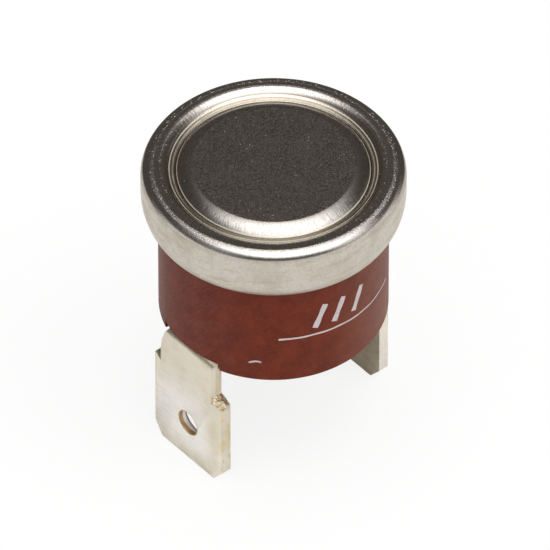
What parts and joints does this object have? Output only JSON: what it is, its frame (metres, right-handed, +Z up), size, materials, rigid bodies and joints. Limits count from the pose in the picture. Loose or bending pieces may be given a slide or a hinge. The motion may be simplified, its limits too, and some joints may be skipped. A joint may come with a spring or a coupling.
{
  "type": "bimetal thermostat",
  "caption": "Snap-disc bimetal thermostat: crimped metal cap with a flat sensing face on a round moulded body, with bent quick-connect terminals underneath.",
  "frame": {"origin": "middle of the part on the plane that its terminal tips stand on", "axes": "+Z points up to the sensing face; the fixed contact's terminal lies on -X and the contact arm's terminal on +X"},
  "size_m": [0.0162, 0.0162, 0.0204],
  "materials": {
    "plated_steel": "satin nickel plate, finely scratched",
    "bimetal": "rolled strip",
    "guide_ceramic": "fired, unglazed",
    "pin_ceramic": "ground",
    "phenolic": "moulded, satin",
    "bracket_brass": "stamped",
    "spring_bronze": "rolled spring strip",
    "contact_silver": "silver alloy",
    "tinned_brass": "tin plate, lightly stained",
    "rivet_brass": "tin plate"
  },
  "bodies": {
    "case": {"cap": "plated_steel", "bimetal_disc": "bimetal", "pin_guide": "guide_ceramic", "body": "phenolic", "arm_bracket": "bracket_brass", "contact_bracket": "bracket_brass", "fixed_contact": "contact_silver", "arm_terminal": "tinned_brass", "contact_terminal": "tinned_brass", "arm_rivet": "rivet_brass", "contact_rivet": "rivet_brass"},
    "pin": {"transfer_pin": "pin_ceramic"},
    "arm": {"contact_arm": "spring_bronze", "moving_contact": "contact_silver"}
  },
  "joints": [
    {"name": "pin_slide", "type": "slide", "parent": "case", "child": "pin", "axis": [0, 0, -1], "range_m": [0, 0.0005], "stiffness_N_per_m": 300, "springref_m": -0.001, "deforming": ["bimetal_disc"]},
    {"name": "arm_flex", "type": "hinge", "parent": "case", "child": "arm", "pos_m": [0.00362, 0, 0.0136], "axis": [0, -1, 0], "range_deg": [0, 8]}
  ],
  "couplings": [
    {"joint": "arm_flex", "follows": "pin_slide", "rad_per_m": 277.78}
  ]
}
